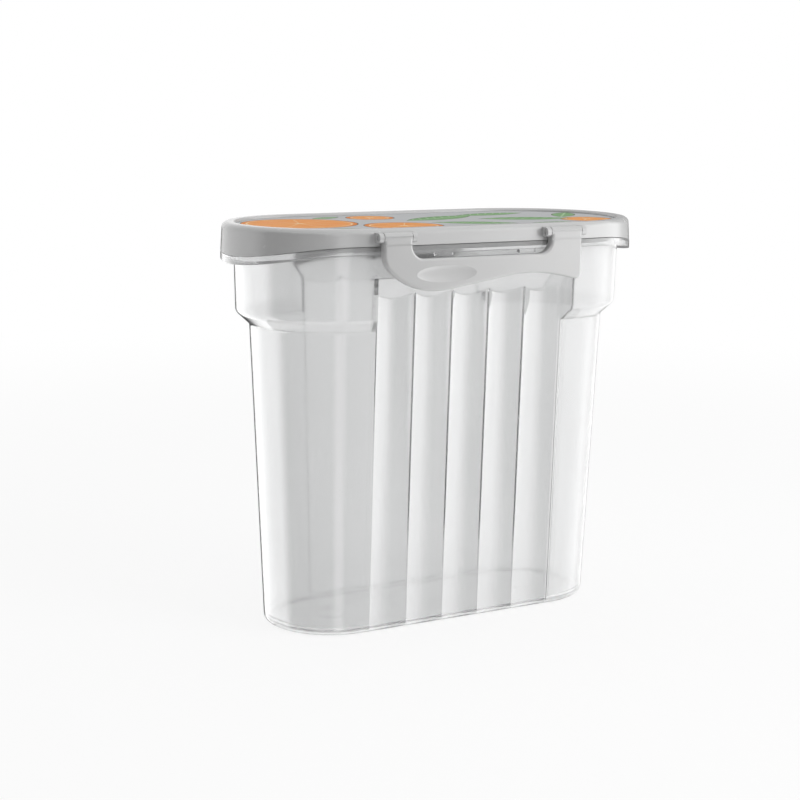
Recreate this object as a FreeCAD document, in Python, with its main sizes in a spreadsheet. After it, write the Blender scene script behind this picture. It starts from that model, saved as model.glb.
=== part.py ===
"""Food storage container: a clear tapered tub, and a lid that two side latches hold down.

The plan is straight long sides with round ends. The long sides carry a fluted grip panel each.
Frame: +Z up, the origin at the middle of the base, X along the tub and -Y to its front. Millimetres.
"""
import FreeCAD, Part
import Sketcher
import math
import os
import re

SIZES = (
    # Tub
    ("side_length", 97.2, "straight length of the long sides"),
    ("base_radius", 29.1, "end radius at the base"),
    ("wall_radius", 34.6, "end radius under the shoulder"),
    ("collar_low_radius", 40.4, "end radius at the collar's foot"),
    ("collar_top_radius", 41.2, "end radius at the rim"),
    ("shoulder_base", 130.0, "height where the shoulder starts"),
    ("shoulder_rise", 5.4, "height of the shoulder"),
    ("rim_height", 168.0, "height of the tub's rim"),
    ("wall", 1.6, "wall of the tub"),
    ("floor", 2.0, "floor of the tub"),
    ("base_round", 2.6, "round at the base, outside and inside"),
    ("shoulder_round", 3.4, "outer round at the collar's foot"),
    ("shoulder_crease", 1.4, "round where the shoulder leaves the wall"),
    ("foot_width", 5.4, "width of the foot rim"),
    ("foot_height", 0.8, "height of the foot rim"),
    ("mark_radius", 7.0, "moulded ring under each end of the floor"),
    ("mark_width", 0.8, "width of that ring's line"),
    ("mark_height", 0.3, "height of that ring's line"),
    # Flange under the skirt
    ("flange_overhang", 5.2, "flange past the collar"),
    ("flange_thickness", 3.2, "height of the flange's edge"),
    ("nub_spacing", 40.0, "distance between the two catch nubs of a side"),
    ("nub_width", 8.0, "length of a catch nub"),
    ("nub_height", 1.4, "catch nub under the flange"),
    ("nub_depth", 2.0, "catch nub inwards from the flange's edge"),
    # Fluted panel
    ("flute_count", 5, "flutes on a side"),
    ("flute_pitch", 17.8, "distance between flutes"),
    ("flute_depth_low", 0.9, "flute depth at the base"),
    ("flute_depth_high", 2.4, "flute depth at the panel's top"),
    ("panel_land", 0.6, "flat beside the outer flutes"),
    ("panel_sink", 0.4, "crests below the wall's face"),
    ("panel_top", 145.5, "height where the crests meet the panel's sloping top"),
    ("panel_slope", 50.0, "slope of the panel's top from the level, in degrees"),
    ("panel_draft", 3.6, "slant of the panel's sides in the collar"),
    # Lid
    ("skirt_overhang", 5.4, "skirt's lower edge past the collar"),
    ("skirt_flare", 0.9, "skirt wider at its lower edge than at the top"),
    ("skirt_wall", 1.9, "wall of the skirt"),
    ("skirt_height", 6.9, "skirt along the long sides, from the lid's top"),
    ("wave_drop", 5.8, "skirt deeper at the ends than along the sides"),
    ("wave_reach", 39.0, "length over which an end drops"),
    ("lid_plate", 2.2, "thickness of the lid's plate"),
    ("panel_recess", 1.6, "plate below the lid's raised border"),
    ("border_width", 5.4, "width of the lid's raised border"),
    ("top_round", 2.6, "round of the lid's top edge"),
    ("border_round", 1.0, "round of the border's inner edge"),
    ("plug_gap", 1.2, "inner ring of the lid clear of the tub's rim"),
    ("plug_wall", 1.4, "wall of the inner ring"),
    ("plug_depth", 5.8, "height of the inner ring"),
    ("print_thickness", 0.3, "printed film in the lid's recess"),
    # Seal
    ("seal_thickness", 1.2, "thickness of the flat seal"),
    ("seal_gap", 0.25, "seal clear of the lid's walls"),
    # Latch
    ("latch_left", 49.5, "latch's left end from the middle"),
    ("latch_right", 44.7, "latch's right end from the middle"),
    ("window_left", 36.9, "window's left end from the middle"),
    ("window_right", 29.7, "window's right end from the middle"),
    ("window_round", 5.6, "round of the window's corners"),
    ("thumb_drop", 13.4, "thumb end below the window"),
    ("thumb_place", 26.0, "lowest place of the thumb end, left of the middle"),
    ("thumb_round", 9.0, "round of the thumb end's side"),
    ("thumb_sweep", 29.0, "round of the thumb end's lower edge"),
    ("hollow_round", 50.0, "round where the lower edge starts to rise"),
    ("waist_place", 8.0, "where the lower edge turns over"),
    ("waist_rise", 4.7, "that place above the thumb end"),
    ("heel_place", 33.0, "where the lower edge runs straight to the right end"),
    ("heel_rise", 4.0, "that place above the thumb end"),
    ("heel_round", 2.4, "round of the right lower corner"),
    ("latch_wall", 1.5, "face of the latch and its return lip"),
    ("face_round", 1.1, "round of the latch's front edge"),
    ("dimple_place", 21.0, "middle of the thumb dimple, left of the middle"),
    ("dimple_lift", 7.0, "middle of the dimple above the thumb end"),
    ("dimple_length", 28.0, "length of the dimple"),
    ("dimple_width", 7.0, "width of the dimple"),
    ("dimple_depth", 0.8, "depth of the dimple"),
    # Hinge
    ("barrel_radius", 2.1, "knuckle on top of a latch's ear"),
    ("barrel_gap", 0.5, "knuckle clear of the skirt"),
    ("pivot_drop", 3.4, "pivot below the lid's top"),
    ("pin_radius", 1.0, "hinge pin of a latch"),
    ("pin_gap", 0.08, "hinge pin clear of its hole"),
    ("pin_reach", 1.8, "hinge pin past its ear"),
    ("lug_radius", 2.0, "round end of a hinge lug"),
    ("lug_thickness", 2.0, "thickness of a hinge lug"),
    ("lug_gap", 0.25, "ear clear of a lug"),
    ("crease_width", 0.5, "moulded lines across an ear"),
    ("crease_depth", 0.35, "depth of those lines"),
    ("crease_rise", 0.4, "upper line above the pivot"),
    ("crease_drop", 2.9, "lower line below the pivot"),
    # Clearances and cutting margins
    ("skirt_gap", 0.3, "skirt above the flange"),
    ("latch_gap", 0.45, "latch clear of the flange's edge"),
    ("nub_gap", 0.3, "latch's upper edge below the nubs"),
    ("spare", 3.0, "cutting tools past the face that they cut"),
)

DERIVED = {
    "wall_slope": "(wall_radius - base_radius) / shoulder_base",
    "shoulder_top": "shoulder_base + shoulder_rise",
    "flange_radius": "collar_top_radius + flange_overhang",
    "skirt_radius": "collar_top_radius + skirt_overhang",
    "lid_half": "side_length / 2 + skirt_radius",
    "seat_height": "rim_height + seal_thickness",
    "plate_height": "seat_height + lid_plate",
    "lid_top": "plate_height + panel_recess",
    "lid_body": "skirt_height + wave_drop + spare",
    "skirt_low": "lid_top - skirt_height",
    "flange_top": "skirt_low - skirt_gap",
    "flange_low": "flange_top - flange_thickness",
    "skirt_bore": "skirt_radius - skirt_flare - skirt_wall",
    "rim_bore": "collar_top_radius - wall",
    "plug_radius": "rim_bore - plug_gap",
    "pivot_height": "lid_top - pivot_drop",
    "pivot_out": "skirt_radius - skirt_flare + barrel_gap + barrel_radius",
    "latch_face": "pivot_out + barrel_radius",
    "latch_back": "flange_radius + latch_gap",
    "window_low": "flange_low - nub_height - nub_gap",
    "thumb_low": "window_low - thumb_drop",
}

START, END, CENTRE = range(1, 4)
ORIGIN = -1
X_AXIS = -1
CORNER_TOLERANCE = 0.01

doc = FreeCAD.newDocument("FoodContainer")
sheet = doc.addObject("Spreadsheet::Sheet", "Sizes")
for row, (alias, size, meaning) in enumerate(SIZES, start=1):
    sheet.set("A%d" % row, str(size))
    sheet.setAlias("A%d" % row, alias)
    sheet.set("B%d" % row, meaning)
doc.recompute()
ALIASES = {alias for alias, size, meaning in SIZES}


def formula(text):
    """Write a size rule in the sheet's own terms."""
    def term(match):
        word = match.group()
        if word in DERIVED:
            return "(" + formula(DERIVED[word]) + ")"
        return "Sizes." + word if word in ALIASES else word
    return re.sub(r"[a-z_]+", term, text)


def value(text):
    """Work a size rule out in millimetres."""
    return float(sheet.evalExpression(formula(text)))


def bind(thing, prop, text):
    """Tie a property to a size rule."""
    thing.setExpression(prop, formula(text))


def new_body(label):
    body = doc.addObject("PartDesign::Body", label)
    body.Label = label
    return body


def origin_part(body, role):
    """Find one of a body's own planes or axes."""
    return next(part for part in body.Origin.OriginFeatures if part.Role == role)


def new_sketch(body, name, plane, offset="0"):
    """Add a sketch on one of the body's planes, moved along that plane's normal."""
    sketch = body.newObject("Sketcher::SketchObject", name)
    sketch.AttachmentSupport = (origin_part(body, plane), [""])
    sketch.MapMode = "FlatFace"
    bind(sketch, "AttachmentOffset.Base.z", offset)
    doc.recompute()
    return sketch


def measure(sketch, text, kind, *refs):
    """Add a driving dimension that follows a size rule."""
    index = sketch.addConstraint(Sketcher.Constraint(kind, *refs, value(text)))
    bind(sketch, "Constraints[%d]" % index, text)


def fix(sketch, edge, vertex, x, y):
    """Hold one point of a sketch at two size rules."""
    measure(sketch, x, "DistanceX", ORIGIN, START, edge, vertex)
    measure(sketch, y, "DistanceY", ORIGIN, START, edge, vertex)


def join(sketch, kind, *ends):
    """Make ends coincide, meet smoothly or line up."""
    sketch.addConstraint(Sketcher.Constraint(kind, *ends))


def point(x, y):
    return FreeCAD.Vector(value(x), value(y), 0)


def add_line(sketch, start, end):
    return sketch.addGeometry(Part.LineSegment(start, end))


def add_arc(sketch, centre, radius, first, last):
    """Add an arc that runs counter-clockwise between two angles in radians."""
    circle = Part.Circle(centre, FreeCAD.Vector(0, 0, 1), radius)
    return sketch.addGeometry(Part.ArcOfCircle(circle, first, last))


def add_circle(sketch, x, y, radius):
    """Draw a circle whose middle and radius are size rules."""
    circle = sketch.addGeometry(Part.Circle(point(x, y), FreeCAD.Vector(0, 0, 1), value(radius)))
    fix(sketch, circle, CENTRE, x, y)
    measure(sketch, radius, "Radius", circle)


def polygon(sketch, corners):
    """Draw a closed outline of straight lines through corners given as size rules."""
    places = [point(x, y) for x, y in corners]
    count = len(places)
    lines = [add_line(sketch, places[k], places[(k + 1) % count]) for k in range(count)]
    for k, (x, y) in enumerate(corners):
        join(sketch, "Coincident", lines[k], END, lines[(k + 1) % count], START)
        fix(sketch, lines[k], START, x, y)


def stadium(sketch, radius):
    """Draw straight long sides with round ends about the origin."""
    half, round_end = value("side_length / 2"), value(radius)
    right, left = FreeCAD.Vector(half, 0, 0), FreeCAD.Vector(-half, 0, 0)
    out = FreeCAD.Vector(0, round_end, 0)
    front = add_line(sketch, left - out, right - out)
    right_end = add_arc(sketch, right, round_end, -math.pi / 2, math.pi / 2)
    back = add_line(sketch, right + out, left + out)
    left_end = add_arc(sketch, left, round_end, math.pi / 2, 3 * math.pi / 2)
    ring = (front, right_end, back, left_end)
    for edge, following in zip(ring, ring[1:] + ring[:1]):
        join(sketch, "Tangent", edge, END, following, START)
    join(sketch, "Symmetric", left_end, CENTRE, right_end, CENTRE, ORIGIN, START)
    join(sketch, "PointOnObject", right_end, CENTRE, X_AXIS)
    join(sketch, "Equal", left_end, right_end)
    measure(sketch, radius, "Radius", right_end)
    measure(sketch, "side_length", "DistanceX", left_end, CENTRE, right_end, CENTRE)


def extrude(body, kind, sketch, length, taper=None, backwards=False, both_ways=False):
    """Pad or pocket a sketch, and make sure that it changed the body."""
    before = body.Shape.Volume if body.Tip else 0.0
    feature = body.newObject("PartDesign::" + kind, sketch.Name + kind)
    feature.Profile = sketch
    bind(feature, "Length", length)
    if taper:
        bind(feature, "TaperAngle", taper)
    feature.Reversed = backwards
    feature.SideType = "Symmetric" if both_ways else "One side"
    doc.recompute()
    grown = feature.Shape.Volume - before
    if (grown > 0) != (kind == "Pad"):
        raise RuntimeError("%s changed nothing" % feature.Name)
    return feature


def stadium_step(body, name, kind, level, radius, length, top_radius=None, backwards=False, bore=None):
    """Pad or pocket a round-ended form, straight or tapered, or a ring if it has a bore."""
    sketch = new_sketch(body, name, "XY_Plane", level)
    stadium(sketch, radius)
    if bore:
        stadium(sketch, bore)
    taper = "atan((%s - (%s)) / (%s))" % (top_radius, radius, length) if top_radius else None
    return extrude(body, kind, sketch, length, taper, backwards)


def round_edges(body, name, radius, chosen):
    """Round the edges of the body's last feature that a test picks."""
    base = body.Tip
    names = ["Edge%d" % (k + 1) for k, edge in enumerate(base.Shape.Edges) if chosen(edge.BoundBox)]
    fillet = body.newObject("PartDesign::Fillet", name)
    fillet.Base = (base, names)
    bind(fillet, "Radius", radius)
    doc.recompute()
    return fillet


def at_height(text):
    """Pick edges that lie flat at a height."""
    height = value(text)
    return lambda box: max(abs(box.ZMin - height), abs(box.ZMax - height)) < CORNER_TOLERANCE


def turn_copy(body, name, features):
    """Repeat features half a turn round the upright axis."""
    pattern = body.newObject("PartDesign::PolarPattern", name)
    pattern.Originals = features
    pattern.Axis = (origin_part(body, "Z_Axis"), [""])
    pattern.Occurrences = 2
    pattern.Angle = 360
    body.Tip = pattern
    doc.recompute()


def panel_outline(sketch, crest, valley, reach, inset):
    """Draw the panel's cutting outline: a row of hollow flutes, closed in front of the tub."""
    side = "(flute_count * flute_pitch / 2)"
    half = "(%s + panel_land + %s)" % (side, inset)
    depth = "(%s - (%s))" % (valley, crest)
    radius = "((flute_pitch / 2) ^ 2 + %s ^ 2) / (2 * %s)" % (depth, depth)
    corners = (("-" + side, crest), ("-" + half, crest), ("-(%s + panel_draft)" % half, reach),
               ("%s + panel_draft" % half, reach), (half, crest), (side, crest))
    places = [point(x, y) for x, y in corners]
    lines = [add_line(sketch, a, b) for a, b in zip(places, places[1:])]
    lean = math.asin(value("flute_pitch / 2") / value(radius))
    count = int(value("flute_count"))
    middles = ["(%d - (flute_count - 1) / 2) * flute_pitch" % flute for flute in range(count)]
    flutes = [add_arc(sketch, point(middle, "%s - %s" % (valley, radius)), value(radius),
                      math.pi / 2 - lean, math.pi / 2 + lean) for middle in middles]
    for line, (x, y) in zip(lines, corners):
        fix(sketch, line, START, x, y)
    for line, following in zip(lines, lines[1:]):
        join(sketch, "Coincident", line, END, following, START)
    fix(sketch, lines[-1], END, *corners[-1])
    join(sketch, "Coincident", flutes[0], END, lines[0], START)
    for middle, flute, following in zip(middles, flutes, flutes[1:]):
        fix(sketch, flute, START, middle + " + flute_pitch / 2", crest)
        join(sketch, "Coincident", following, END, flute, START)
    join(sketch, "Coincident", flutes[-1], START, lines[-1], END)
    for flute in flutes:
        measure(sketch, radius, "Radius", flute)


def cut_panels(body, inset, low):
    """Cut the fluted panel into the front and the back of a tub form, up to its sloping top."""
    out = "(base_radius + wall_slope * (%s) - panel_sink - %s)"
    depth = "flute_depth_low + (flute_depth_high - flute_depth_low) * (%s) / panel_top" % low
    foot = new_sketch(body, "PanelFoot", "XY_Plane", low)
    panel_outline(foot, "-" + out % (low, inset), "%s - %s" % (depth, out % (low, inset)),
                  "-(collar_top_radius + spare)", inset)
    crest = out % ("panel_top", inset)
    top = new_sketch(body, "PanelTop", "XY_Plane", "panel_top")
    lean = FreeCAD.Rotation(FreeCAD.Vector(1, 0, 0), -value("panel_slope"))
    top.AttachmentOffset = FreeCAD.Placement(top.AttachmentOffset.Base, lean)
    bind(top, "AttachmentOffset.Base.y", "-" + crest)
    panel_outline(top, "0", "flute_depth_high / cos(panel_slope)",
                  "-(collar_top_radius + spare - %s) / cos(panel_slope)" % crest, inset)
    before = body.Shape.Volume
    loft = body.newObject("PartDesign::SubtractiveLoft", "Panel")
    loft.Profile = foot
    loft.Sections = [top]
    loft.Ruled = True
    doc.recompute()
    turn_copy(body, "PanelBack", [loft])
    if body.Shape.Volume >= before:
        raise RuntimeError("the panel cut nothing")


def tub_form(label, inset, low, high):
    """Build the tub's outer form, or the form of its inside set in by the wall."""
    body = new_body(label)
    foot = "base_radius + wall_slope * (%s) - %s" % (low, inset)
    stadium_step(body, "Wall", "Pad", low, foot, "shoulder_base - (%s)" % low, "(wall_radius - %s)" % inset)
    stadium_step(body, "Shoulder", "Pad", "shoulder_base", "wall_radius - " + inset, "shoulder_rise",
                 "(collar_low_radius - %s)" % inset)
    stadium_step(body, "Collar", "Pad", "shoulder_top", "collar_low_radius - " + inset,
                 "%s - shoulder_top" % high, "(collar_top_radius - %s)" % inset)
    round_edges(body, "BaseRound", "base_round", at_height(low))
    round_edges(body, "ShoulderRound", "shoulder_round", at_height("shoulder_top"))
    round_edges(body, "ShoulderCrease", "shoulder_crease", at_height("shoulder_base"))
    cut_panels(body, inset, "%s - spare" % low)
    return body


def wave_outline(body, name, level, far):
    """Draw the region between the lid's waved lower edge, at a height, and a level line."""
    sketch = new_sketch(body, name, "XZ_Plane")
    flat, end, past = "(lid_half - wave_reach)", "lid_half", "(lid_half + spare)"
    low = "%s - wave_drop" % level
    radius = value("(wave_reach ^ 2 + wave_drop ^ 2) / (2 * wave_drop)")
    sweep = math.asin(value("wave_reach") / radius)
    middle = add_line(sketch, point("-" + flat, level), point(flat, level))
    drop = FreeCAD.Vector(0, radius, 0)
    right = add_arc(sketch, point(flat, level) - drop, radius, math.pi / 2 - sweep, math.pi / 2)
    left = add_arc(sketch, point("-" + flat, level) - drop, radius, math.pi / 2, math.pi / 2 + sweep)
    corners = ((end, low), (past, low), (past, far), ("-" + past, far), ("-" + past, low), ("-" + end, low))
    places = [point(x, y) for x, y in corners]
    lines = [add_line(sketch, a, b) for a, b in zip(places, places[1:])]
    join(sketch, "Tangent", middle, END, right, END)
    join(sketch, "Tangent", middle, START, left, START)
    fix(sketch, middle, START, "-" + flat, level)
    fix(sketch, middle, END, flat, level)
    join(sketch, "Coincident", right, START, lines[0], START)
    join(sketch, "Coincident", left, END, lines[-1], END)
    for line, (x, y) in zip(lines, corners):
        fix(sketch, line, START, x, y)
    for line, following in zip(lines, lines[1:]):
        join(sketch, "Coincident", line, END, following, START)
    fix(sketch, lines[-1], END, "-" + end, low)
    return sketch


def wave_cut(body, name, level, far):
    """Cut away what lies between the waved edge and a level line."""
    outline = wave_outline(body, name, level, far)
    extrude(body, "Pocket", outline, "2 * (skirt_radius + spare)", both_ways=True)


def make_flange():
    """Build the waved flange under the skirt, with the nubs that the latches catch."""
    body = new_body("flange")
    low = "(flange_low - wave_drop - spare)"
    stadium_step(body, "Plate", "Pad", low, "flange_radius", "flange_top + spare - " + low)
    wave_cut(body, "WaveOver", "flange_top", "flange_top + 2 * spare")
    wave_cut(body, "WaveUnder", "flange_low", low + " - 2 * spare")
    nubs = new_sketch(body, "Nubs", "XY_Plane", "flange_low")
    front, back = "-flange_radius", "nub_depth - flange_radius"
    for middle in ("-nub_spacing / 2", "nub_spacing / 2"):
        left, right = middle + " - nub_width / 2", middle + " + nub_width / 2"
        polygon(nubs, ((left, front), (right, front), (right, back), (left, back)))
    pads = extrude(body, "Pad", nubs, "nub_height", backwards=True)
    turn_copy(body, "NubsBack", [pads])
    return body


def add_marks(body):
    """Raise a plain ring under the floor at the middle of each round end."""
    sketch = new_sketch(body, "Marks", "XY_Plane", "foot_height")
    for middle in ("-side_length / 2", "side_length / 2"):
        add_circle(sketch, middle, "0", "mark_radius")
        add_circle(sketch, middle, "0", "mark_radius - mark_width")
    extrude(body, "Pad", sketch, "mark_height", backwards=True)


def make_container():
    """Join the tub and its flange, and take the inside out."""
    outside = tub_form("tub_outside", "0", "0", "rim_height")
    stadium_step(outside, "Foot", "Pocket", "0", "base_radius - foot_width", "foot_height", backwards=True)
    add_marks(outside)
    inside = tub_form("tub_inside", "wall", "floor", "(rim_height + spare)")
    joined = doc.addObject("Part::Fuse", "tub_joined")
    joined.Base = outside
    joined.Tool = make_flange()
    tub = doc.addObject("Part::Cut", "container")
    tub.Base = joined
    tub.Tool = inside
    tub.Label = "container"
    doc.recompute()
    return tub


def add_lug(body, name, start):
    """Add one hinge lug to the lid's front, from the skirt out to round the pivot."""
    sketch = new_sketch(body, name, "YZ_Plane", start)
    root, out, mid = "-(skirt_bore - skirt_wall)", "-pivot_out", "pivot_height"
    high, low = mid + " + lug_radius", mid + " - lug_radius"
    nose = add_arc(sketch, point(out, mid), value("lug_radius"), math.pi / 2, 3 * math.pi / 2)
    under = add_line(sketch, point(out, low), point(root, low))
    inner = add_line(sketch, point(root, low), point(root, high))
    over = add_line(sketch, point(root, high), point(out, high))
    join(sketch, "Tangent", nose, END, under, START)
    join(sketch, "Coincident", under, END, inner, START)
    join(sketch, "Coincident", inner, END, over, START)
    join(sketch, "Tangent", over, END, nose, START)
    fix(sketch, nose, CENTRE, out, mid)
    measure(sketch, "lug_radius", "Radius", nose)
    fix(sketch, inner, START, root, low)
    fix(sketch, inner, END, root, high)
    return extrude(body, "Pad", sketch, "lug_thickness")


def add_rod(body, name, kind, start, length, radius):
    """Pad or bore a round rod along the hinge, from a place on X."""
    sketch = new_sketch(body, name, "YZ_Plane", start)
    add_circle(sketch, "-pivot_out", "pivot_height", radius)
    return extrude(body, kind, sketch, length, backwards=kind == "Pocket")


def make_lid():
    """Build the lid: a bordered top, a skirt with a waved edge, an inner ring and hinge lugs."""
    body = new_body("lid")
    base = "(lid_top - lid_body)"
    stadium_step(body, "Shell", "Pad", base, "skirt_radius", "lid_body", "(skirt_radius - skirt_flare)")
    round_edges(body, "TopRound", "top_round", at_height("lid_top"))
    lug_starts = ("-(latch_left + lug_gap + lug_thickness)", "-(window_left - lug_gap)",
                  "window_right - lug_gap - lug_thickness", "latch_right + lug_gap")
    lugs = [add_lug(body, "Lug%d" % k, start) for k, start in enumerate(lug_starts, start=1)]
    hinge_end = "-(latch_left + lug_gap + lug_thickness + spare)"
    hinge_length = "latch_left + latch_right + 2 * (lug_gap + lug_thickness + spare)"
    bore = add_rod(body, "HingeBore", "Pocket", hinge_end, hinge_length, "pin_radius + pin_gap")
    turn_copy(body, "HingeBack", lugs + [bore])
    stadium_step(body, "Recess", "Pocket", "lid_top", "skirt_radius - skirt_flare - border_width",
                 "panel_recess")
    inner_edge = value("skirt_radius - skirt_flare - border_width + side_length / 2")
    level = at_height("lid_top")
    round_edges(body, "BorderRound", "border_round",
                lambda box: level(box) and max(-box.XMin, box.XMax) < inner_edge + CORNER_TOLERANCE)
    stadium_step(body, "Hollow", "Pocket", base, "skirt_bore", "seat_height - " + base, backwards=True)
    wave_cut(body, "SkirtWave", "skirt_low", base + " - spare")
    stadium_step(body, "Plug", "Pad", "seat_height", "plug_radius", "plug_depth", backwards=True,
                 bore="plug_radius - plug_wall")
    return body


def make_seal():
    """Build the flat seal that lies in the lid's channel and on the tub's rim."""
    body = new_body("seal_ring")
    stadium_step(body, "Ring", "Pad", "rim_height", "skirt_bore - seal_gap", "seal_thickness",
                 bore="plug_radius + seal_gap")
    return body


def make_print():
    """Build the printed film that lies in the lid's recess."""
    body = new_body("lid_print")
    stadium_step(body, "Film", "Pad", "plate_height", "skirt_radius - skirt_flare - border_width - seal_gap",
                 "print_thickness")
    return body


def lower_edge(sketch):
    """Draw the latch's sides and wavy lower edge, from the top left to the top right."""
    left, right, top = "-latch_left", "latch_right", "pivot_height"
    waist = ("waist_place", "thumb_low + waist_rise")
    heel = ("heel_place", "thumb_low + heel_rise")
    up = FreeCAD.Vector(0, 1, 0)
    lowest, middle, end = point("-thumb_place", "thumb_low"), point(*waist), point(*heel)
    side_round, sweep, hollow = value("thumb_round"), value("thumb_sweep"), value("hollow_round")

    sweep_centre = lowest + up * sweep
    aside = value("latch_left - thumb_round - thumb_place")
    side_turn = math.acos(aside / (sweep - side_round))
    below = (sweep - side_round) * math.sin(side_turn)
    side_centre = sweep_centre - FreeCAD.Vector(aside, below, 0)

    hollow_centre = lowest + up * hollow
    reach = middle - hollow_centre
    lean = math.atan2(reach.y, reach.x) - math.acos(hollow / reach.Length) + math.pi / 2
    take_off = hollow_centre + FreeCAD.Vector(math.sin(lean), -math.cos(lean), 0) * hollow

    chord = end - middle
    half_turn = lean - math.atan2(chord.y, chord.x)
    slope = lean - 2 * half_turn
    crown_radius = chord.Length / (2 * math.sin(half_turn))
    crown_centre = middle + FreeCAD.Vector(math.sin(lean), -math.cos(lean), 0) * crown_radius
    corner = value("heel_round")
    run = value(right) - corner - end.x
    foot = end + FreeCAD.Vector(run, run * math.tan(slope), 0)

    edges = (
        add_line(sketch, point(left, top), FreeCAD.Vector(value(left), side_centre.y, 0)),
        add_arc(sketch, side_centre, side_round, math.pi, math.pi + side_turn),
        add_arc(sketch, sweep_centre, sweep, math.pi + side_turn, 3 * math.pi / 2),
        add_arc(sketch, hollow_centre, hollow, -math.pi / 2, lean - math.pi / 2),
        add_line(sketch, take_off, middle),
        add_arc(sketch, crown_centre, crown_radius, math.pi / 2 + slope, math.pi / 2 + lean),
        add_line(sketch, end, foot),
        add_arc(sketch, foot + up * corner, corner, slope - math.pi / 2, 0),
        add_line(sketch, FreeCAD.Vector(value(right), foot.y + corner, 0), point(right, top)),
    )
    side, thumb, belly, rising, ramp, crown, heel_line, heel_turn, rise = edges
    for edge, following in zip(edges, edges[1:]):
        join(sketch, "Tangent", edge, START if edge == crown else END,
             following, END if following == crown else START)
    join(sketch, "Vertical", belly, CENTRE, belly, END)
    join(sketch, "Vertical", side)
    join(sketch, "Vertical", rise)
    for arc, radius in ((thumb, "thumb_round"), (belly, "thumb_sweep"), (rising, "hollow_round"),
                        (heel_turn, "heel_round")):
        measure(sketch, radius, "Radius", arc)
    fix(sketch, belly, END, "-thumb_place", "thumb_low")
    fix(sketch, ramp, END, *waist)
    fix(sketch, crown, START, *heel)
    fix(sketch, side, START, left, top)
    fix(sketch, rise, END, right, top)
    return side, rise


def latch_outline(body):
    """Draw the latch from the front: two ears, the window between them and the thumb plate."""
    sketch = new_sketch(body, "Outline", "XZ_Plane", "latch_face")
    side, rise = lower_edge(sketch)
    top, low, bend = "pivot_height", "window_low", "window_round"
    right, left = "window_right", "-window_left"
    right_in, left_in = "window_right - window_round", "window_round - window_left"
    lift = "window_low + window_round"
    right_top = add_line(sketch, point("latch_right", top), point(right, top))
    right_side = add_line(sketch, point(right, top), point(right, lift))
    right_turn = add_arc(sketch, point(right_in, lift), value(bend), -math.pi / 2, 0)
    sill = add_line(sketch, point(right_in, low), point(left_in, low))
    left_turn = add_arc(sketch, point(left_in, lift), value(bend), math.pi, 3 * math.pi / 2)
    left_side = add_line(sketch, point(left, lift), point(left, top))
    left_top = add_line(sketch, point(left, top), point("-latch_left", top))
    join(sketch, "Coincident", rise, END, right_top, START)
    join(sketch, "Coincident", right_top, END, right_side, START)
    join(sketch, "Tangent", right_side, END, right_turn, END)
    join(sketch, "Tangent", right_turn, START, sill, START)
    join(sketch, "Tangent", sill, END, left_turn, END)
    join(sketch, "Tangent", left_turn, START, left_side, START)
    join(sketch, "Coincident", left_side, END, left_top, START)
    join(sketch, "Coincident", left_top, END, side, START)
    fix(sketch, right_side, START, right, top)
    fix(sketch, left_side, END, left, top)
    join(sketch, "Vertical", right_side)
    join(sketch, "Vertical", left_side)
    join(sketch, "Horizontal", sill)
    measure(sketch, low, "DistanceY", ORIGIN, START, sill, START)
    measure(sketch, bend, "Radius", right_turn)
    measure(sketch, bend, "Radius", left_turn)
    return sketch


def hollow_back(body):
    """Hollow the latch from behind, so that a face and a return lip of one wall are left."""
    base = body.Tip
    back = value("-latch_back")
    names = ["Face%d" % (k + 1) for k, face in enumerate(base.Shape.Faces)
             if abs(face.BoundBox.YMin - back) < CORNER_TOLERANCE]
    dish = body.newObject("PartDesign::Thickness", "Dish")
    dish.Base = (base, names)
    dish.Reversed = True
    dish.Join = "Intersection"
    bind(dish, "Value", "latch_wall")
    doc.recompute()


def add_dimple(body):
    """Press the oval thumb dimple into the latch's face."""
    bulge = "(2 * dimple_depth)"
    share = "sqrt(1 - ((%s - dimple_depth) / %s) ^ 2)" % (bulge, bulge)
    dimple = body.newObject("PartDesign::SubtractiveEllipsoid", "Dimple")
    bind(dimple, "Radius1", "dimple_width / 2 / " + share)
    bind(dimple, "Radius2", "dimple_length / 2 / " + share)
    bind(dimple, "Radius3", bulge)
    dimple.Angle1 = -90
    dimple.Angle2 = 90
    dimple.Angle3 = 360
    dimple.AttachmentSupport = (origin_part(body, "XY_Plane"), [""])
    dimple.MapMode = "ObjectXY"
    bind(dimple, "AttachmentOffset.Base.x", "-dimple_place")
    bind(dimple, "AttachmentOffset.Base.y", "-(latch_face + %s - dimple_depth)" % bulge)
    bind(dimple, "AttachmentOffset.Base.z", "thumb_low + dimple_lift")
    doc.recompute()


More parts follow.
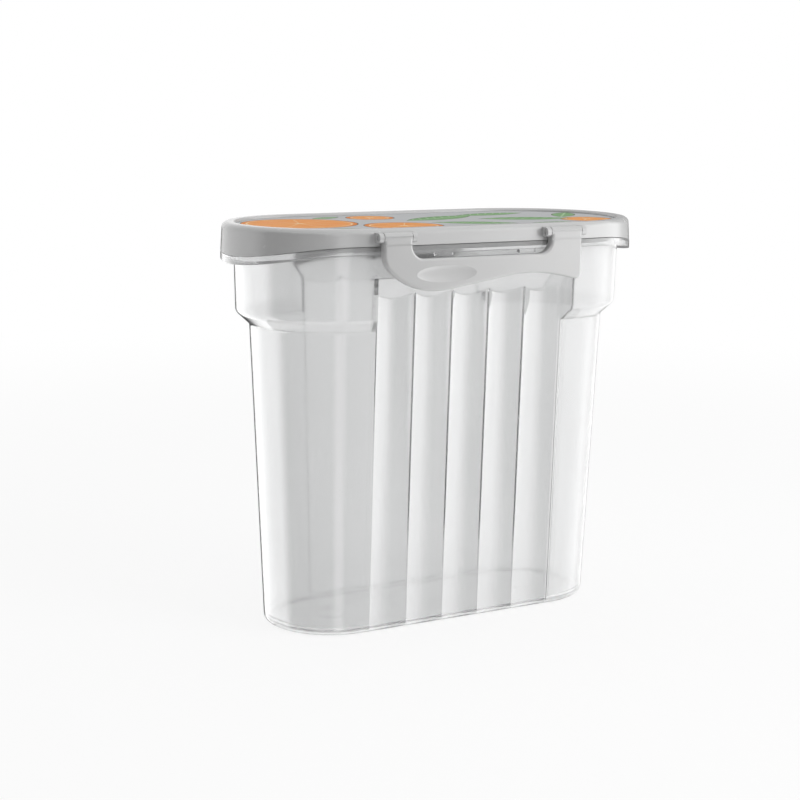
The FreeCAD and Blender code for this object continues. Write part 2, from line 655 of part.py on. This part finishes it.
def make_latch(label, turn):
    """Build one latch for the lid's front, and turn it to its side of the lid."""
    body = new_body(label)
    extrude(body, "Pad", latch_outline(body), "latch_face - latch_back", backwards=True)
    hollow_back(body)
    face, top = value("-latch_face"), value("pivot_height")
    round_edges(body, "FaceRound", "face_round",
                lambda box: abs(box.YMin - face) < CORNER_TOLERANCE > abs(box.YMax - face)
                and box.ZMin < top - CORNER_TOLERANCE)
    ears = (("LeftEar", "-latch_left", "latch_left - window_left"),
            ("RightEar", "window_right", "latch_right - window_right"))
    for name, start, width in ears:
        add_rod(body, name + "Barrel", "Pad", start, width, "barrel_radius")
        add_rod(body, name + "Pin", "Pad", start + " - pin_reach", width + " + 2 * pin_reach", "pin_radius")
        creases = new_sketch(body, name + "Creases", "XZ_Plane", "latch_face")
        end = "%s + %s" % (start, width)
        for middle in ("pivot_height + crease_rise", "pivot_height - crease_drop"):
            low, high = middle + " - crease_width / 2", middle + " + crease_width / 2"
            polygon(creases, ((start, low), (end, low), (end, high), (start, high)))
        extrude(body, "Pocket", creases, "crease_depth")
    add_dimple(body)
    body.Placement = FreeCAD.Placement(FreeCAD.Vector(), FreeCAD.Rotation(FreeCAD.Vector(0, 0, 1), turn))
    doc.recompute()
    return body


def write_parts(parts):
    """Check every object, then write each sub-part to its own file."""
    for thing in doc.Objects:
        if "Invalid" in thing.State or "Error" in thing.State:
            raise RuntimeError("%s failed to build" % thing.Name)
    for part in parts:
        shape = part.Shape
        if shape.isNull() or not shape.isValid() or len(shape.Solids) != 1:
            raise RuntimeError("%s is not one sound solid" % part.Label)
    os.makedirs("parts", exist_ok=True)
    for part in parts:
        part.Shape.exportStep("parts/%s.step" % part.Label)
        box = part.Shape.BoundBox
        print("%s %.1f cm3, X %.2f to %.2f, Y %.2f to %.2f, Z %.2f to %.2f" % (
            part.Label, part.Shape.Volume / 1000, box.XMin, box.XMax, box.YMin, box.YMax, box.ZMin, box.ZMax))


write_parts([make_container(), make_lid(), make_seal(), make_print(),
             make_latch("front_latch", 0), make_latch("rear_latch", 180)])
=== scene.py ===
"""Dress a clear food storage container: its plastics, the lid's printed film and a small studio.

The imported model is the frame. Every piece stays where the frame puts it: metres, +Z up, the base on
Z = 0 and the front latch towards -Y.
"""
import math

import bpy
from bpy.props import FloatProperty, FloatVectorProperty, IntProperty, PointerProperty
from mathutils import Matrix, Vector


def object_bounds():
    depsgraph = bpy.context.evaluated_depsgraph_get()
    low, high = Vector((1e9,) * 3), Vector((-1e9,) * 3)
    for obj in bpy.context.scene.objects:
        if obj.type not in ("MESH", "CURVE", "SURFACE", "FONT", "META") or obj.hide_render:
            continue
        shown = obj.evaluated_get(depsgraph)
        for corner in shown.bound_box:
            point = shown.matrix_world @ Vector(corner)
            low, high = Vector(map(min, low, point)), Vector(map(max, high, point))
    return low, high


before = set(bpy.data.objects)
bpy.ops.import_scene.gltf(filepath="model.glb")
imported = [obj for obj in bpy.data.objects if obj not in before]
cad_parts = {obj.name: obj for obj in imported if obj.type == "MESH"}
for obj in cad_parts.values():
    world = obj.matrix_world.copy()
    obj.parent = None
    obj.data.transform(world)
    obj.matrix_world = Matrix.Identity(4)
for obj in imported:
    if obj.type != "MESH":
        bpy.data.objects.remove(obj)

bl_info = {
    "name": "Food Keeper Finish",
    "version": (1, 0, 0),
    "blender": (4, 5, 0),
    "location": "View3D > Sidebar > Keeper",
    "description": "Finishes for a clear food keeper with a latched lid, and a studio to show it in",
    "category": "Material",
}

CAD_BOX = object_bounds()
MM = 0.001
TOP_OF_LID = CAD_BOX[1].z
LIGHT_BOUNCES = 32
SENSOR_WIDTH = 36
FLOOR_SIZE = 8
FLOOR_GAP = 0.0003
# Distances from the middle between which the floor's shadow fades out
SHADOW_NEAR, SHADOW_FAR = 0.3, 0.9
TENT_SIDES = 90
TENT_RADIUS = 0.40
TENT_LOW, TENT_HIGH = -0.25, 0.40
# Heights on the tent: the lid mirrors what is above the first, the tub's outline what is below the second
LID_GLOSS, RIM_GLOSS = 0.125, 0.16
# Noise values between which a patch turns from nothing to its full strength
STREAK_EDGES = (0.45, 0.75)
SMUDGE_EDGES = (0.52, 0.75)
SCUFF_EDGES = (0.5, 0.8)
# How noise is stretched so that it runs up the tub's walls
STREAK_STRETCH = (1, 1, 0.12)
RIPPLE_STRETCH = (1, 1, 0.3)
# Side veins of a leaf: how many, their slant and their width as a share of their spacing
VEINS, VEIN_SLANT, VEIN_SHARE = 9, 0.9, 0.09

# Citrus wheels of the print: middle x and y, radius, in millimetres, and turn in degrees
WHEELS = (
    (-60, 7, 25, 8),
    (-24, -19, 17, 20),
    (-17, 25, 11, 0),
    (70, -17, 12, 12),
)
# Leaves of the print: middle x and y, length, width, in millimetres, and turn in degrees
LEAVES = (
    (11, 12, 46, 15, 22),
    (12, -17, 38, 12, -28),
    (44, 24, 40, 12, 8),
    (46, -4, 44, 15, -16),
    (40, -30, 32, 10, 14),
    (75, 9, 30, 11, 52),
    (-36, 31, 18, 7, 24),
    (-57, -27, 26, 9, -12),
)
# Panels of the tent that gloss mirrors: first and last turn to the left of the front and softness of the
# edges, in degrees, low and high edge in metres, and brightness
TENT_PANELS = (
    (-24, 98, 9, TENT_LOW, TENT_HIGH, 0.05),
    (13, 27, 5, TENT_LOW, TENT_HIGH, 2.0),
    (-90, -35, 10, TENT_LOW, TENT_HIGH, 2.3),
    (-135, -90, 10, TENT_LOW, LID_GLOSS, 1.4),
    (-160, -84, 10, LID_GLOSS, TENT_HIGH, 0.45),
    (98, 166, 10, TENT_LOW, LID_GLOSS, 2.4),
    (174, 190, 6, TENT_LOW, RIM_GLOSS, 0.0),
    (-190, -124, 6, TENT_LOW, RIM_GLOSS, 0.0),
)


def colour(name, description, default):
    """Describe a colour that a user may change."""
    return FloatVectorProperty(name=name, description=description, subtype="COLOR", size=3, min=0, max=1,
                               default=default)


def share(name, description, default, high=1.0):
    """Describe a plain number between nought and a limit."""
    return FloatProperty(name=name, description=description, min=0, max=high, default=default)


def length(name, description, default):
    """Describe a length in metres."""
    return FloatProperty(name=name, description=description, unit="LENGTH", default=default, precision=4)


def angle(name, description, degrees):
    """Describe an angle."""
    return FloatProperty(name=name, description=description, subtype="ANGLE", default=math.radians(degrees))


class KeeperPlastics(bpy.types.PropertyGroup):
    """Colours and grain of the moulded plastics and the seal"""
    tub_tint: colour("Tub tint", "Colour that a wall of the tub lets through", (0.925, 0.928, 0.93))
    tub_streak: share("Tub streaks", "How much darker the flow streaks in the tub are", 0.04)
    tub_roughness: share("Tub roughness", "Roughness of the clear walls", 0.09)
    tub_smudge: share("Tub smudges", "Roughness that handling adds in patches", 0.04)
    tub_coat: share("Tub gloss", "Weight of the moulded gloss on the clear walls", 0.8)
    tub_ior: share("Tub refraction", "Refractive index of the clear plastic", 1.5, high=2.5)
    tub_clearness: share("Tub clearness", "Share of the light that the clear walls let through", 0.88)
    coat_ior: share("Gloss refraction", "Refractive index of the gloss on the clear walls", 1.6, high=2.5)
    streak_size: length("Streak size", "Width of the flow streaks", 0.02)
    smudge_size: length("Smudge size", "Size of the handling smudges", 0.035)
    ripple_size: length("Ripple size", "Width of the slow waves in the clear walls", 0.022)
    ripple_depth: length("Ripple depth", "Depth of the slow waves in the clear walls", 0.00002)
    lid_grey: colour("Lid grey", "Colour of the lid and its latches", (0.53, 0.53, 0.53))
    lid_roughness: share("Lid roughness", "Roughness of the lid and its latches", 0.22)
    lid_coat: share("Lid gloss", "Weight of the moulded gloss on the lid and its latches", 0.6)
    lid_coat_roughness: share("Lid gloss roughness", "Roughness of the gloss on the lid", 0.06)
    lid_mirror: share("Lid mirror", "Strength of the lid's own reflections", 0.8)
    shade_size: length("Shade size", "Size of the faint shade changes on the lid", 0.05)
    shade_change: share("Shade change", "How much paler the lid is in places", 0.06)
    wear_size: length("Wear size", "Size of the worn patches on the lid", 0.012)
    wear: share("Wear", "Roughness that wear adds to the lid", 0.08)
    grain_size: length("Grain size", "Size of the moulded grain on the lid", 0.0007)
    grain_depth: length("Grain depth", "Depth of the moulded grain on the lid", 0.000006)
    seal_white: colour("Seal white", "Colour of the silicone seal", (0.74, 0.74, 0.71))
    seal_roughness: share("Seal roughness", "Roughness of the silicone", 0.5)
    dust_size: length("Dust size", "Size of the powdery patches on the seal", 0.004)
    dust_grey: share("Dust grey", "How much greyer the powdery patches are", 0.1)
    dust_roughness: share("Dust roughness", "Roughness that powder adds to the seal", 0.2)
    pore_size: length("Pore size", "Size of the seal's fine pores", 0.0005)
    pore_depth: length("Pore depth", "Depth of the seal's fine pores", 0.00001)


class KeeperPrint(bpy.types.PropertyGroup):
    """Colours and line widths of the printed film"""
    ground: colour("Ground", "Colour of the film between the motifs", (0.56, 0.57, 0.58))
    flesh: colour("Flesh", "Orange of the wheels", (0.90, 0.36, 0.10))
    rind: colour("Rind", "Deeper orange round the wheels", (0.82, 0.26, 0.05))
    pith: colour("Pith", "Pale lines in the wheels", (0.95, 0.66, 0.36))
    leaf: colour("Leaf", "Green of the leaves", (0.20, 0.38, 0.17))
    vein: colour("Vein", "Paler green of the leaf veins", (0.42, 0.60, 0.36))
    ink: colour("Ink", "Dark line round each motif", (0.08, 0.10, 0.06))
    ink_width: length("Ink width", "Width of the dark line", 0.0005)
    rind_width: length("Rind width", "Width of the rind", 0.0018)
    pith_width: length("Pith width", "Width of the pale lines", 0.0009)
    segments: IntProperty(name="Segments", description="Segments in a wheel", min=3, max=16, default=9)
    roughness: share("Roughness", "Roughness of the film", 0.5)
    mirror: share("Mirror", "Strength of the film's reflections", 0.05)
    ground_size: length("Ground patches", "Size of the paler patches of the ground", 0.03)
    ground_change: share("Ground change", "How much paler the patches are", 0.05)
    scuff_size: length("Scuff size", "Size of the scuffs on the film", 0.01)
    scuff: share("Scuffs", "Roughness that scuffs add", 0.1)
    tooth_size: length("Tooth size", "Size of the film's fine tooth", 0.0012)
    tooth_depth: length("Tooth depth", "Depth of the film's fine tooth", 0.000005)


class KeeperStudio(bpy.types.PropertyGroup):
    """Camera and light of the studio"""
    camera_turn: angle("Camera turn", "Camera to the left of the front", 29.757)
    camera_distance: length("Camera distance", "Level distance of the camera from the middle", 0.72525)
    camera_height: length("Camera height", "Height of the camera", 0.22644)
    camera_aside: angle("Camera aside", "Aim to the right of the middle", -1.02)
    camera_down: angle("Camera down", "Aim below the level", 10.479)
    camera_roll: angle("Camera roll", "Turn of the picture, clockwise", 0.4985)
    focal_length: FloatProperty(name="Focal length", description="Lens of the camera",
                                subtype="DISTANCE_CAMERA", default=74.87)
    white: colour("White", "Colour of the floor and the backdrop", (1.0, 1.0, 1.0))
    floor_glow: share("Floor glow", "Share of the floor's white that takes no shadow", 0.88)
    fill: share("Fill", "Even light from all round", 0.34)


class Term:
    """One output of a shader node. Arithmetic on it adds Math nodes to its tree."""

    def __init__(self, socket):
        self.socket = socket

    def node(self, kind, settings=(), inputs=(), output=0):
        """Add a node to the tree: set it up, feed its sockets and return one of its outputs."""
        made = self.socket.id_data.nodes.new(kind)
        for name, setting in dict(settings).items():
            setattr(made, name, setting)
        for key, fed in dict(inputs).items():
            feed(made.inputs[key], fed)
        return Term(made.outputs[output])

    def maths(self, operation, *values):
        return self.node("ShaderNodeMath", {"operation": operation}, dict(enumerate(values)))

    def __add__(self, other):
        return self.maths("ADD", self, other)

    def __sub__(self, other):
        return self.maths("SUBTRACT", self, other)

    def __rsub__(self, other):
        return self.maths("SUBTRACT", other, self)

    def __mul__(self, other):
        return self.maths("MULTIPLY", self, other)

    def __truediv__(self, other):
        return self.maths("DIVIDE", self, other)

    def __pow__(self, other):
        return self.maths("POWER", self, other)

    def __abs__(self):
        return self.maths("ABSOLUTE", self)

    def __lt__(self, other):
        return self.maths("LESS_THAN", self, other)

    def __gt__(self, other):
        return self.maths("GREATER_THAN", self, other)

    __radd__ = __add__
    __rmul__ = __mul__


def feed(socket, fed):
    """Link a term to a socket, or set the socket to a plain value."""
    if isinstance(fed, Term):
        socket.id_data.links.new(fed.socket, socket)
    elif socket.type == "RGBA":
        socket.default_value = (*fed, 1.0)
    else:
        socket.default_value = fed


def blend(mask, under, over):
    """Lay one colour over another where a mask is one."""
    return mask.node("ShaderNodeMix", {"data_type": "RGBA"}, {0: mask, 6: under, 7: over}, output=2)


def noise(place, size, detail=2.0, stretch=(1, 1, 1)):
    """Make a noise field from nought to one, with features of a size in metres."""
    moved = place.node("ShaderNodeVectorMath", {"operation": "MULTIPLY"}, {0: place, 1: stretch})
    return place.node("ShaderNodeTexNoise", (), {"Vector": moved, "Scale": 1 / size, "Detail": detail})


def ramp(field, low, high):
    """Turn a field smoothly from nought to one between two of its values."""
    return field.node("ShaderNodeMapRange", {"interpolation_type": "SMOOTHSTEP"},
                      {"Value": field, "From Min": low, "From Max": high})


def bump(height, depth):
    """Turn a height field of a depth in metres into a normal."""
    return height.node("ShaderNodeBump", (), {"Strength": 1.0, "Distance": depth, "Height": height})


def new_finish(name):
    """Start a material: return it, its shader's sockets and the place on the object in metres."""
    material = bpy.data.materials.new(name)
    material.use_nodes = True
    tree = material.node_tree
    shader = tree.nodes["Principled BSDF"]
    place = Term(tree.nodes.new("ShaderNodeTexCoord").outputs["Object"])
    return material, shader.inputs, place


def fill_sockets(sockets, values):
    """Feed several sockets of a shader by name."""
    for name, fed in values.items():
        feed(sockets[name], fed)


def clear_plastic(plastics):
    """Clear, faintly grey moulded plastic with flow streaks, slow ripples and handling smudges."""
    material, sockets, place = new_finish("clear_plastic")
    streaks = ramp(noise(place, plastics.streak_size, detail=3, stretch=STREAK_STRETCH), *STREAK_EDGES)
    dense = tuple(part * (1 - plastics.tub_streak) for part in plastics.tub_tint)
    smudges = ramp(noise(place, plastics.smudge_size, detail=4), *SMUDGE_EDGES)
    ripples = noise(place, plastics.ripple_size, detail=1, stretch=RIPPLE_STRETCH)
    fill_sockets(sockets, {
        "Base Color": blend(streaks, plastics.tub_tint, dense),
        "Roughness": plastics.tub_roughness + smudges * plastics.tub_smudge,
        "IOR": plastics.tub_ior,
        "Transmission Weight": plastics.tub_clearness,
        "Coat Weight": plastics.tub_coat,
        "Coat IOR": plastics.coat_ior,
        "Normal": bump(ripples, plastics.ripple_depth),
    })
    return material


def grey_plastic(plastics):
    """Light grey gloss plastic with a fine moulded grain and faint shade changes."""
    material, sockets, place = new_finish("grey_plastic")
    shade = noise(place, plastics.shade_size, detail=3)
    paler = tuple(min(1, part * (1 + plastics.shade_change)) for part in plastics.lid_grey)
    worn = ramp(noise(place, plastics.wear_size, detail=5), *SCUFF_EDGES)
    fill_sockets(sockets, {
        "Base Color": blend(shade, plastics.lid_grey, paler),
        "Roughness": plastics.lid_roughness + worn * plastics.wear,
        "Specular IOR Level": plastics.lid_mirror,
        "Coat Weight": plastics.lid_coat,
        "Coat Roughness": plastics.lid_coat_roughness,
        "Normal": bump(noise(place, plastics.grain_size), plastics.grain_depth),
    })
    return material


def seal_silicone(plastics):
    """Matt whitish silicone with a fine powdery surface."""
    material, sockets, place = new_finish("seal_silicone")
    dust = noise(place, plastics.dust_size, detail=4)
    greyer = tuple(part * (1 - plastics.dust_grey) for part in plastics.seal_white)
    fill_sockets(sockets, {
        "Base Color": blend(dust, plastics.seal_white, greyer),
        "Roughness": plastics.seal_roughness + dust * plastics.dust_roughness,
        "Normal": bump(noise(place, plastics.pore_size), plastics.pore_depth),
    })
    return material


def wheel_on(paint, x, y, design, spot):
    """Print one citrus wheel over the paint so far: ink line, rind, pith and flesh segments."""
    middle_x, middle_y, radius = (size * MM for size in spot[:3])
    turn = math.radians(spot[3])
    across, along = x - middle_x, y - middle_y
    out = (across * across + along * along) ** 0.5
    bearing = along.maths("ARCTAN2", along, across) + turn
    rays = abs(bearing.maths("SINE", bearing * (design.segments / 2))) * out
    paint = blend(out < radius, paint, design.ink)
    paint = blend(out < radius - design.ink_width, paint, design.rind)
    inner = radius - design.ink_width - design.rind_width
    paint = blend(out < inner, paint, design.pith)
    flesh = (out < inner - design.pith_width) * (rays > design.pith_width) * (out > 2 * design.pith_width)
    return blend(flesh, paint, design.flesh)


def leaf_on(paint, x, y, design, spot):
    """Print one leaf over the paint so far: ink line, green blade, middle vein and side veins."""
    middle_x, middle_y, long, wide = (size * MM for size in spot[:4])
    turn = math.radians(spot[4])
    across, up = x - middle_x, y - middle_y
    along = across * math.cos(turn) + up * math.sin(turn)
    aside = abs(up * math.cos(turn) - across * math.sin(turn))
    part = along / (long / 2)
    edge = (1 - part * part) * (wide / 2) - aside
    slant = (along - aside * VEIN_SLANT) / (long / VEINS)
    side_veins = abs(slant.maths("FRACT", slant) - 0.5) < VEIN_SHARE
    veins = side_veins.maths("MAXIMUM", side_veins, aside < design.ink_width)
    paint = blend(edge > 0, paint, design.ink)
    blade = edge > design.ink_width
    paint = blend(blade, paint, design.leaf)
    return blend(blade * veins, paint, design.vein)


def printed_film(design):
    """Matt film printed with citrus wheels and leaves."""
    material, sockets, place = new_finish("printed_film")
    x, y = (place.node("ShaderNodeSeparateXYZ", (), {0: place}, axis) for axis in range(2))
    paler = tuple(min(1, part * (1 + design.ground_change)) for part in design.ground)
    paint = blend(noise(place, design.ground_size, detail=3), design.ground, paler)
    for spot in WHEELS:
        paint = wheel_on(paint, x, y, design, spot)
    for spot in LEAVES:
        paint = leaf_on(paint, x, y, design, spot)
    scuffs = ramp(noise(place, design.scuff_size, detail=4), *SCUFF_EDGES)
    fill_sockets(sockets, {
        "Base Color": paint,
        "Roughness": design.roughness + scuffs * design.scuff,
        "Specular IOR Level": design.mirror,
        "Normal": bump(noise(place, design.tooth_size), design.tooth_depth),
    })
    return material


def dress(nodes, material):
    """Put a material on the frame's own pieces."""
    for node in nodes:
        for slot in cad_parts[node].material_slots:
            slot.material = material


def seen_rays(term):
    """Pick the rays that show a white background: straight, mirrored and through clear walls."""
    path = [term.node("ShaderNodeLightPath", (), (), name)
            for name in ("Is Camera Ray", "Is Glossy Ray", "Is Transmission Ray")]
    return path[0].maths("MAXIMUM", path[0], path[1].maths("MAXIMUM", path[1], path[2]))


def white_floor(studio):
    """White floor that keeps a soft shadow."""
    material = bpy.data.materials.new("white_floor")
    material.use_nodes = True
    tree = material.node_tree
    tree.nodes.remove(tree.nodes["Principled BSDF"])
    surface = Term(tree.nodes["Material Output"].inputs["Surface"])
    paint = surface.node("ShaderNodeBsdfDiffuse", (), {"Color": studio.white})
    glow = surface.node("ShaderNodeEmission", (), {"Color": studio.white})
    place = surface.node("ShaderNodeTexCoord", (), (), "Object")
    away = surface.node("ShaderNodeVectorMath", {"operation": "LENGTH"}, {0: place}, "Value")
    glowing = studio.floor_glow + ramp(away, SHADOW_NEAR, SHADOW_FAR) * (1 - studio.floor_glow)
    factor = seen_rays(surface) * glowing
    feed(surface.socket, surface.node("ShaderNodeMixShader", (), {0: factor, 1: paint, 2: glow}))
    return material


def lay_floor(studio):
    """Lay the white floor just under the object, hidden from gloss so that the tent shows there instead."""
    half = FLOOR_SIZE / 2
    mesh = bpy.data.meshes.new("floor")
    corners = [(-half, -half, 0), (half, -half, 0), (half, half, 0), (-half, half, 0)]
    mesh.from_pydata(corners, [], [(0, 1, 2, 3)])
    mesh.materials.append(white_floor(studio))
    sheet = bpy.data.objects.new("floor", mesh)
    bpy.context.scene.collection.objects.link(sheet)
    sheet.location.z = -FLOOR_GAP
    sheet.visible_glossy = False


def around(turn, distance, height):
    """Find a place round the object: turn in degrees to the left of the front."""
    turn = math.radians(turn)
    return Vector((-math.sin(turn) * distance, -math.cos(turn) * distance, height))


# Soft boxes: name, place, width and height in metres, and brightness
SOFT_BOXES = (
    ("top_light", (0.1, 0.1, 1.1), 1.2, 0.9, 0.9),
    ("left_light", around(128, 0.9, 0.35), 0.5, 0.9, 0.5),
    ("right_light", around(-36, 1.0, 0.45), 0.7, 0.7, 4.1),
)


def soft_box(name, place, wide, high, radiance):
    """Hang a soft box whose face has a brightness, turned to the middle of the object."""
    light = bpy.data.lights.new(name, "AREA")
    light.shape = "RECTANGLE"
    light.size = wide
    light.size_y = high
    light.energy = radiance * math.pi * wide * high
    lamp = bpy.data.objects.new(name, light)
    bpy.context.scene.collection.objects.link(lamp)
    lamp.location = place
    lamp.rotation_mode = "QUATERNION"
    lamp.rotation_quaternion = (Vector((0, 0, TOP_OF_LID / 2)) - place).to_track_quat("-Z", "Y")
    lamp.visible_camera = False
    lamp.visible_glossy = False
    lamp.visible_transmission = False


def tent_cloth():
    """Glowing cloth whose brightness changes from panel to panel round the object."""
    material, sockets, place = new_finish("tent_cloth")
    x, y, z = (place.node("ShaderNodeSeparateXYZ", (), {0: place}, axis) for axis in range(3))
    turn = x.maths("ARCTAN2", x * -1, y * -1) * math.degrees(1)
    level = 1
    for first, last, soft, low, high, brightness in TENT_PANELS:
        panel = ramp(turn, first - soft, first + soft) - ramp(turn, last - soft, last + soft)
        level = level + panel * (z > low) * (z < high) * (brightness - 1)
    fill_sockets(sockets, {
        "Base Color": (0, 0, 0),
        "Specular IOR Level": 0,
        "Emission Color": level,
        "Emission Strength": 1.0,
    })
    return material


def light_tent():
    """Stand a round tent about the object that only gloss shows."""
    corners = []
    for side in range(TENT_SIDES):
        turn = 360 * side / TENT_SIDES
        corners += [around(turn, TENT_RADIUS, TENT_LOW), around(turn, TENT_RADIUS, TENT_HIGH)]
    count = len(corners)
    mesh = bpy.data.meshes.new("light_tent")
    faces = [(k, (k + 2) % count, (k + 3) % count, k + 1) for k in range(0, count, 2)]
    mesh.from_pydata(corners, [], faces)
    mesh.materials.append(tent_cloth())
    tent = bpy.data.objects.new("light_tent", mesh)
    bpy.context.scene.collection.objects.link(tent)
    tent.visible_camera = False
    tent.visible_diffuse = False
    tent.visible_transmission = False
    tent.visible_shadow = False


def white_world(studio):
    """Light the scene evenly, and show white wherever a ray leaves it."""
    world = bpy.data.worlds.new("studio")
    bpy.context.scene.world = world
    world.use_nodes = True
    tree = world.node_tree
    backdrop = tree.nodes["Background"]
    backdrop.inputs["Color"].default_value = (*studio.white, 1.0)
    start = Term(backdrop.outputs[0])
    seen = seen_rays(start)
    feed(backdrop.inputs["Strength"], seen + (1 - seen) * studio.fill)


def stand_camera(studio):
    """Stand the camera at the front left, a little above the lid."""
    data = bpy.data.cameras.new("camera")
    data.lens = studio.focal_length
    data.sensor_width = SENSOR_WIDTH
    camera = bpy.data.objects.new("camera", data)
    bpy.context.scene.collection.objects.link(camera)
    turn, aside = studio.camera_turn, studio.camera_aside
    down, roll = studio.camera_down, studio.camera_roll
    level = Vector((math.sin(turn), math.cos(turn), 0))
    right = Vector((math.cos(turn), -math.sin(turn), 0))
    up = Vector((0, 0, 1))
    ahead = (level * math.cos(aside) + right * math.sin(aside)) * math.cos(down) - up * math.sin(down)
    right = ahead.cross(up).normalized()
    up = right.cross(ahead)
    picture_right = right * math.cos(roll) + up * math.sin(roll)
    picture_up = up * math.cos(roll) - right * math.sin(roll)
    place = -level * studio.camera_distance + Vector((0, 0, studio.camera_height))
    axes = Matrix((picture_right, picture_up, -ahead)).transposed().to_4x4()
    camera.matrix_world = Matrix.Translation(place) @ axes
    bpy.context.scene.camera = camera


class KEEPER_OT_tub(bpy.types.Operator):
    """Give the tub its clear plastic"""
    bl_idname = "keeper.tub"
    bl_label = "Clear tub"

    def execute(self, context):
        dress(["container"], clear_plastic(context.scene.keeper_plastics))
        return {"FINISHED"}


class KEEPER_OT_lid(bpy.types.Operator):
    """Give the lid and its latches their grey plastic"""
    bl_idname = "keeper.lid"
    bl_label = "Grey lid and latches"

    def execute(self, context):
        dress(["lid", "front_latch", "rear_latch"], grey_plastic(context.scene.keeper_plastics))
        return {"FINISHED"}


class KEEPER_OT_seal(bpy.types.Operator):
    """Give the seal its silicone"""
    bl_idname = "keeper.seal"
    bl_label = "Silicone seal"

    def execute(self, context):
        dress(["seal_ring"], seal_silicone(context.scene.keeper_plastics))
        return {"FINISHED"}


class KEEPER_OT_film(bpy.types.Operator):
    """Print the film on the lid"""
    bl_idname = "keeper.film"
    bl_label = "Printed film"

    def execute(self, context):
        dress(["lid_print"], printed_film(context.scene.keeper_print))
        return {"FINISHED"}


class KEEPER_OT_stage(bpy.types.Operator):
    """Set up the floor, the light and the camera"""
    bl_idname = "keeper.stage"
    bl_label = "Studio"

    def execute(self, context):
        studio = context.scene.keeper_studio
        context.scene.view_settings.view_transform = "Standard"
        context.scene.cycles.max_bounces = LIGHT_BOUNCES
        context.scene.cycles.transmission_bounces = LIGHT_BOUNCES
        context.scene.cycles.glossy_bounces = LIGHT_BOUNCES
        lay_floor(studio)
        white_world(studio)
        for name, place, wide, high, radiance in SOFT_BOXES:
            soft_box(name, Vector(place), wide, high, radiance)
        light_tent()
        stand_camera(studio)
        return {"FINISHED"}


class KEEPER_PT_panel(bpy.types.Panel):
    """Finishes of the keeper and its studio"""
    bl_idname = "KEEPER_PT_panel"
    bl_label = "Food keeper"
    bl_space_type = "VIEW_3D"
    bl_region_type = "UI"
    bl_category = "Keeper"

    def draw(self, context):
        scene = context.scene
        for operator in OPERATORS:
            self.layout.operator(operator.bl_idname)
        for settings in (scene.keeper_plastics, scene.keeper_print, scene.keeper_studio):
            box = self.layout.box()
            for name in settings.__annotations__:
                box.prop(settings, name)


OPERATORS = (KEEPER_OT_tub, KEEPER_OT_lid, KEEPER_OT_seal, KEEPER_OT_film, KEEPER_OT_stage)
GROUPS = {"keeper_plastics": KeeperPlastics, "keeper_print": KeeperPrint, "keeper_studio": KeeperStudio}
CLASSES = (*GROUPS.values(), *OPERATORS, KEEPER_PT_panel)


def register():
    for item in CLASSES:
        bpy.utils.register_class(item)
    for name, group in GROUPS.items():
        setattr(bpy.types.Scene, name, PointerProperty(type=group))


def unregister():
    for name in GROUPS:
        delattr(bpy.types.Scene, name)
    for item in reversed(CLASSES):
        bpy.utils.unregister_class(item)


def main():
    register()
    bpy.ops.keeper.tub()
    bpy.ops.keeper.lid()
    bpy.ops.keeper.seal()
    bpy.ops.keeper.film()
    bpy.ops.keeper.stage()


if __name__ == "__main__":
    main()
